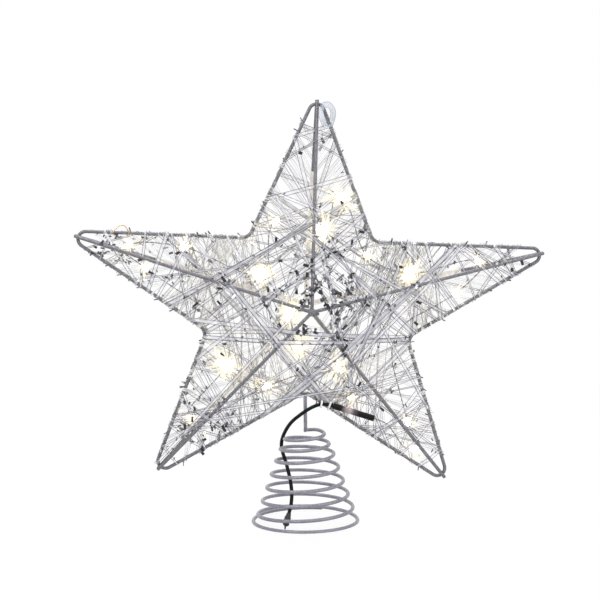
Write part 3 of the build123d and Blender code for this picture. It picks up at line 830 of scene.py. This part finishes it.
for face, rows in ((1, MEASURED), (-1, MEASURED[::2])):
    for x0, y0, x1, y1, width in rows:
        ends = chord((x0 * 0.001 * face, y0 * 0.001), (x1 * 0.001 * face, y1 * 0.001))
        centre.add(
            taut(*ends, face, rng.uniform(*STRIP_LIFT)), width * STRIP_SCALE, STRIP_EDGE,
            tilt=rng.uniform(-STRIP_TILT, STRIP_TILT), twist=rng.uniform(-STRIP_TWIST, STRIP_TWIST),
            kinds=(PALE, SHARP),
        )
for k in range(5):
    for side in ("after", "before"):
        line = edge_line(k, side)
        d = (line[1] - line[0]).normalized()
        for j in range(WRAPS):
            run = WRAP_FIRST + (1 - WRAP_FIRST) * math.sqrt((j + rng.random()) / WRAPS)
            at = line[0].lerp(line[1], min(WRAP_LAST, run))
            first = rng.uniform(0, 2 * math.pi)
            pitch = rng.uniform(*WRAP_PITCH) * rng.choice((-1, 1))
            turn = []
            for i in range(WRAP_STEPS + 1):
                t = i / WRAP_STEPS
                way = Quaternion(d, first + 2 * math.pi * WRAP_TURNS * t) @ FORWARD
                out = FRAME_RADIUS + rng.uniform(*WRAP_LIFT)
                turn.append((at + d * (pitch * t) + way * out, way))
            centre.add(
                turn, rng.uniform(*WRAP_WIDTH), WRAP_EDGE,
                kinds=rng.choice(((PALE, EDGE), (FIBRE, PALE), (FIBRE, EDGE))), sides=[d] * len(turn),
            )
for k in range(5):
    tip_end, hub = ridge_line(-1, k)
    line = [(hub.lerp(tip_end, t) + FORWARD * BAND_DROP, FORWARD) for t in BAND_PLACES]
    centre.add(line, BAND_WIDTH, BAND_EDGE, kinds=(FIBRE, FIBRE))
piece = centre.done("ribbon_centre", [film, film_edge, pale_film, pale_edge, fibre])
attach(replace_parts(piece, *("ribbon_centre_" + name for name in ARMS)), "star")
all_strips.append(centre)

# Fine threads over the facets, pale fibres inside the star, fibres round the lamps with painted glow
THREADS, THREAD_SPAN, THREAD_CLEAR = 130, (0.02, 0.13), 0.072
THREAD_LIFT, THREAD_WIDTH, THREAD_EDGE = (0.0, 0.0012), (0.00030, 0.00048), 0.00008
FIBRES, FIBRE_SPAN, FIBRE_CLEAR = 75, (0.025, 0.11), 0.08
FIBRE_DEPTH, FIBRE_WIDTH, FIBRE_EDGE = (-0.6, 0.8), (0.0004, 0.0009), 0.0001
FIBRE_STEPS, FIBRE_BOW = 4, 0.12
# Fibres with painted glow: how many at a lamp, every how many are core, and the reach of core and fringe
STRONG_TUFT, WEAK_TUFT = (160, 2, 0.0047, 0.0096), (26, 3, 0.0026, 0.0056)
TUFT_START, TUFT_STEPS, TUFT_BEND = 0.0008, 3, (0.5, 0.3, 0.5)
TUFT_STEP, TUFT_STRETCH, TUFT_WIDTH = (0.12, 0.40), (0.2, 0.9), (0.0005, 0.0013)
DARK, LIGHT, CORE, FRINGE = range(4)
threads = Strips()


def near_tip(a, b, reach):
    """Whether a line across the star has its middle near a tip."""
    middle = (a[0] + b[0]) / 2
    return min(np.linalg.norm(middle - tip) for tip in apexes) < reach


def clear_chord(span, reach):
    """A random line across the star that keeps away from the tips."""
    while True:
        ends = random_chord(*span)
        if not near_tip(*ends, reach):
            return ends


def jitter(x, y, z):
    """A random vector within a spread on each axis."""
    return Vector((rng.uniform(-x, x), rng.uniform(-y, y), rng.uniform(-z, z)))


def in_plane(v):
    """A point's place across and up the star."""
    return np.array(((v - CENTRE).dot(heading(1, 0)), (v - CENTRE).dot(heading(0, 1))))


for i in range(THREADS):
    ends = clear_chord(THREAD_SPAN, THREAD_CLEAR)
    strand = taut(*ends, 1 if i % 2 else -1, rng.uniform(*THREAD_LIFT))
    threads.add(strand, rng.uniform(*THREAD_WIDTH), THREAD_EDGE, kinds=(DARK, DARK))
for _ in range(FIBRES):
    (p, _), (q, _) = clear_chord(FIBRE_SPAN, FIBRE_CLEAR)
    bow = np.array((p[1] - q[1], q[0] - p[0])) * rng.uniform(-FIBRE_BOW, FIBRE_BOW)
    line = []
    for i in range(FIBRE_STEPS + 1):
        t = i / FIBRE_STEPS
        at = p + (q - p) * t + bow * (4 * t * (1 - t))
        line.append((star(*at, facet(*at) * rng.uniform(*FIBRE_DEPTH)), FORWARD))
    threads.add(line, rng.uniform(*FIBRE_WIDTH), FIBRE_EDGE, kinds=(LIGHT, LIGHT))
for i, (here, _) in enumerate(lamp_spots):
    count, every, core_reach, fringe_reach = STRONG_TUFT if i + 1 in STRONG_LAMPS else WEAK_TUFT
    lean, wide = rng.uniform(0, math.pi), rng.uniform(*TUFT_STRETCH)
    axis = Vector((math.cos(lean), 0, math.sin(lean)))
    for j in range(count):
        kind, reach = (CORE, core_reach) if j % every == 0 else (FRINGE, fringe_reach)
        out = Vector((rng.uniform(-1, 1), rng.uniform(-0.9, 0.5), rng.uniform(-1, 1))).normalized()
        facing = Vector((rng.uniform(-0.6, 0.6), -1, rng.uniform(-0.6, 0.6)))
        line = [here + out * TUFT_START]
        for _ in range(TUFT_STEPS):
            out = (out + jitter(*TUFT_BEND)).normalized()
            step = reach * rng.uniform(*TUFT_STEP) * (1 + wide * abs(out.dot(axis)))
            line.append(line[-1] + out * step)
        if all(inside(in_plane(v)) for v in line):
            strand = [(v, facing) for v in line]
            threads.add(strand, rng.uniform(*TUFT_WIDTH), FIBRE_EDGE, kinds=(kind, kind))
piece = threads.done("tinsel_threads", [thread, fibre, painted_glow_core, painted_glow_fringe])
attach(piece, "star")

# Cut foil: tabs that grow out of the ribbons, densest near the front hub, and out of the outline wire
FRONT_TABS, HUB_TABS, CLUSTER_TABS, BACK_TABS, OUTLINE_TABS = 480, 60, 150, 420, 90
LARGE_SHARE, LARGE_LENGTH, LARGE_WIDTH = 0.3, (0.0028, 0.0046), (0.0013, 0.0019)
SMALL_LENGTH, SMALL_WIDTH = (0.0015, 0.0030), (0.0006, 0.0010)
TAB_RISE, TAB_BEND, TAB_OFF, TAB_SHARE = (0.08, 0.7), 0.0008, 0.0002, 0.47
BARE_ARMS, BARE_REACH, BARE_SHARE = (0, 1, 2), 0.085, 0.82
HUB_CLUSTER, HUB_SPREAD, FACING_LIMIT = star(0.014, 0.008, 0.026), 0.03, 0.3
# Middle and spread of the cluster's tabs, across and up
CLUSTER_ACROSS, CLUSTER_UP, CLUSTER_FRONT = (0.011, 0.012), (0.010, 0.010), 0.002
OUTLINE_RUN, OUTLINE_LEAN, OUTLINE_TURN = (0.2, 0.99), (0.7, 0.4, 0.7), (-0.5, 0.5)
OUTLINE_LENGTH, OUTLINE_WIDTH = (0.0016, 0.0034), (0.0005, 0.0009)
OUTLINE_OFF, OUTLINE_BEND = 0.0010, 0.0003
# Shares of dark, grey and silver tabs; the dark and grey ones are painted reflection
FOIL_KINDS = (0, 0, 0, 0, 0, 0, 1, 1, 1, 2)
flecks = ([], [], [])


def fleck(place, along, across, length, width, bend):
    """A small bent piece of foil, dark, grey or silver: the dark and grey ones are painted reflection."""
    verts, faces, kinds = flecks
    base = len(verts)
    up = along.cross(across)
    for t in (-0.5, 0.0, 0.5):
        for w in (-0.5, 0.5):
            verts.append(place + along * (length * t) + across * (width * w) + up * (bend * (0.25 - t * t)))
    kind = rng.choice(FOIL_KINDS)
    for i in (0, 2):
        faces.append((base + i, base + i + 1, base + i + 3, base + i + 2))
        kinds.append(kind)


def tab(here, d, facing):
    """A cut tab of foil with one end on a ribbon at here."""
    turn = rng.uniform(0, 2 * math.pi)
    along = d * math.cos(turn) + d.cross(facing) * math.sin(turn) + facing * rng.uniform(*TAB_RISE)
    along.normalize()
    across = along.cross(facing).normalized()
    large = rng.random() < LARGE_SHARE
    length = rng.uniform(*(LARGE_LENGTH if large else SMALL_LENGTH))
    width = rng.uniform(*(LARGE_WIDTH if large else SMALL_WIDTH))
    middle = here + facing * TAB_OFF + along * (length * TAB_SHARE)
    fleck(middle, along, across, length, width, rng.uniform(-TAB_BEND, TAB_BEND))


def at_bare_end(here):
    """The outer ends of the top, right and lower right arms carry little foil."""
    return min((here - star(*apexes[k])).length for k in BARE_ARMS) < BARE_REACH


def scatter(spots, count):
    """Tabs at random places on straight runs of ribbon."""
    for _ in range(count):
        p, q, facing = rng.choice(spots)
        here = p.lerp(q, rng.random())
        if rng.random() > BARE_SHARE or not at_bare_end(here):
            tab(here, (q - p).normalized(), facing.normalized())


def closest(spots, place):
    """The point of the ribbons that is nearest to a place, with the ribbon's way and facing there."""
    best = None
    for p, q, facing in spots:
        d = q - p
        here = p + d * max(0.0, min(1.0, (place - p).dot(d) / d.length_squared))
        gap = (here - place).length
        if best is None or gap < best[0]:
            best = gap, here, d.normalized(), facing.normalized()
    return best[1:]


spots = [s for strips in all_strips for s in strips.spots]
front_spots = [s for s in spots if s[2].y < -FACING_LIMIT]
back_spots = [s for s in spots if s[2].y > FACING_LIMIT]
near_hub = [s for s in front_spots if (s[0].lerp(s[1], 0.5) - HUB_CLUSTER).length < HUB_SPREAD]
scatter(front_spots, FRONT_TABS)
scatter(near_hub, HUB_TABS)
for _ in range(CLUSTER_TABS):
    at = (rng.gauss(*CLUSTER_ACROSS), rng.gauss(*CLUSTER_UP))
    tab(*closest(front_spots, star(*at, facet(*at) + CLUSTER_FRONT)))
scatter(back_spots, BACK_TABS)
for _ in range(OUTLINE_TABS):
    line = edge_line(rng.randrange(5), rng.choice(("after", "before")))
    here = line[0].lerp(line[1], rng.uniform(*OUTLINE_RUN))
    out = (here - CENTRE).normalized()
    along = (out + jitter(*OUTLINE_LEAN)).normalized()
    across = along.cross(Vector((rng.uniform(*OUTLINE_TURN), -1, rng.uniform(*OUTLINE_TURN)))).normalized()
    length = rng.uniform(*OUTLINE_LENGTH)
    middle = here + along * (OUTLINE_OFF + length / 2)
    fleck(middle, along, across, length, rng.uniform(*OUTLINE_WIDTH), OUTLINE_BEND)
verts, faces, kinds = flecks
piece = new_mesh("foil_flecks", verts, faces, [foil_dark_reflection, foil_grey_reflection, foil_silver], kinds, smooth=False)
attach(piece, "star")

# A loop of the lamp wire over the left arm, its warm orange colour painted light from the lamp beside it
LOOP_FRONT, LOOP_RADIUS, LOOP_SIDES, LOOP_RESOLUTION = 0.002, 0.0003, 6, 8
LOOP_ROUTE = (
    (-0.1300, 0.0425), (-0.1268, 0.0464), (-0.1238, 0.0492), (-0.1208, 0.0496), (-0.1188, 0.0470),
    (-0.1172, 0.0445), (-0.1190, 0.0415),
)
loop_line = spline_points([star(a, u, LOOP_FRONT) for a, u in LOOP_ROUTE], LOOP_RESOLUTION)
piece = new_mesh("painted_warm_loop", *tube_data(loop_line, LOOP_RADIUS, LOOP_SIDES), [wire_painted_warm_light])
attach(piece, "star")

# Floor, light and camera
FLOOR_HALF, FLOOR_LEVEL, FLOOR_GREY, FLOOR_ROUGHNESS = 12, -0.0002, (0.9, 0.9, 0.9, 1), 0.9
FADE_FROM, FADE_SHARE = (0.06, 0.7), (0.90, 1.0)
WORLD_TINT, WORLD_LEVEL, WHITE = (0.96, 0.97, 1.0, 1), 0.30, (1, 1, 1, 1)


def seen(nodes, links):
    """1 for rays from the camera, from gloss or through glass."""
    path = nodes.new("ShaderNodeLightPath")
    first = nodes.new("ShaderNodeMath")
    first.operation = "MAXIMUM"
    links.new(path.outputs["Is Camera Ray"], first.inputs[0])
    links.new(path.outputs["Is Glossy Ray"], first.inputs[1])
    both = nodes.new("ShaderNodeMath")
    both.operation = "MAXIMUM"
    links.new(first.outputs[0], both.inputs[0])
    links.new(path.outputs["Is Transmission Ray"], both.inputs[1])
    return both.outputs[0]


floor_mesh = bpy.data.meshes.new("floor")
floor_mesh.from_pydata(
    [(x * FLOOR_HALF, y * FLOOR_HALF, FLOOR_LEVEL) for x, y in ((-1, -1), (1, -1), (1, 1), (-1, 1))],
    [], [(0, 1, 2, 3)],
)
floor = bpy.data.objects.new("floor", floor_mesh)
scene.collection.objects.link(floor)
ground = bpy.data.materials.new("floor")
ground.use_nodes = True
nodes, links = ground.node_tree.nodes, ground.node_tree.links
plain = nodes["Principled BSDF"]
plain.inputs["Base Color"].default_value = FLOOR_GREY
plain.inputs["Roughness"].default_value = FLOOR_ROUGHNESS
plain.inputs["Specular IOR Level"].default_value = 0.0
white = nodes.new("ShaderNodeEmission")
white.inputs["Strength"].default_value = 1.0

# The floor keeps the shadow near the object and fades to white away from it
spot = nodes.new("ShaderNodeTexCoord")
away = nodes.new("ShaderNodeVectorMath")
away.operation = "LENGTH"
links.new(spot.outputs["Object"], away.inputs[0])
fade = nodes.new("ShaderNodeMapRange")
fade.inputs["From Min"].default_value, fade.inputs["From Max"].default_value = FADE_FROM
fade.inputs["To Min"].default_value, fade.inputs["To Max"].default_value = FADE_SHARE
links.new(away.outputs["Value"], fade.inputs["Value"])
part = nodes.new("ShaderNodeMath")
part.operation = "MULTIPLY"
links.new(fade.outputs["Result"], part.inputs[1])
links.new(seen(nodes, links), part.inputs[0])
mix = nodes.new("ShaderNodeMixShader")
links.new(part.outputs[0], mix.inputs["Fac"])
links.new(plain.outputs["BSDF"], mix.inputs[1])
links.new(white.outputs["Emission"], mix.inputs[2])
links.new(mix.outputs["Shader"], nodes["Material Output"].inputs["Surface"])
floor_mesh.materials.append(ground)

# The world lights the object dimly and shows as white
world = bpy.data.worlds.new("studio")
scene.world = world
world.use_nodes = True
nodes, links = world.node_tree.nodes, world.node_tree.links
dim = nodes["Background"]
dim.inputs["Color"].default_value = WORLD_TINT
dim.inputs["Strength"].default_value = WORLD_LEVEL
bright = nodes.new("ShaderNodeBackground")
bright.inputs["Color"].default_value = WHITE
bright.inputs["Strength"].default_value = 1.0
mix = nodes.new("ShaderNodeMixShader")
links.new(seen(nodes, links), mix.inputs["Fac"])
links.new(dim.outputs["Background"], mix.inputs[1])
links.new(bright.outputs["Background"], mix.inputs[2])
links.new(mix.outputs["Shader"], nodes["World Output"].inputs["Surface"])


def area(name, place, aim, size, energy):
    """A soft square lamp at a place, turned to its aim."""
    light = bpy.data.lights.new(name, "AREA")
    light.size = size
    light.energy = energy
    obj = bpy.data.objects.new(name, light)
    obj.location = place
    obj.rotation_mode = "QUATERNION"
    obj.rotation_quaternion = (Vector(aim) - Vector(place)).to_track_quat("-Z", "Y")
    scene.collection.objects.link(obj)


area("key", (-0.7, -0.9, 1.1), aim=(0, 0, 0.13), size=0.7, energy=13.0)
area("fill", (0.9, -0.8, 0.5), aim=(0, 0, 0.13), size=0.8, energy=5.5)
area("top", (0.1, 0.4, 1.2), aim=(0, 0, 0.15), size=0.8, energy=14.0)

# The camera at the photograph's angle
SENSOR, HALF_VIEW = 36.0, math.radians(11.0)
AIM, DISTANCE = Vector((-0.0026, 0.0, 0.1463)), 1.004
camera_data = bpy.data.cameras.new("camera")
camera = bpy.data.objects.new("camera", camera_data)
scene.collection.objects.link(camera)
scene.camera = camera
camera_data.sensor_width = SENSOR
camera_data.lens = SENSOR / 2 / math.tan(HALF_VIEW)
azimuth, elevation, roll = math.radians(-3.62), math.radians(5.04), math.radians(-0.7)
back = Vector((
    math.sin(azimuth) * math.cos(elevation), -math.cos(azimuth) * math.cos(elevation), math.sin(elevation)
))
right = Vector((math.cos(azimuth), math.sin(azimuth), 0.0))
up = back.cross(right)
x_axis = right * math.cos(roll) + up * math.sin(roll)
y_axis = -right * math.sin(roll) + up * math.cos(roll)
place = AIM + back * DISTANCE
camera.matrix_world = Matrix((
    (x_axis.x, y_axis.x, back.x, place.x),
    (x_axis.y, y_axis.y, back.y, place.y),
    (x_axis.z, y_axis.z, back.z, place.z),
    (0, 0, 0, 1),
))

scene.view_settings.view_transform = "Standard"
# Enough for every strand that lies behind another
scene.cycles.transparent_max_bounces = 64
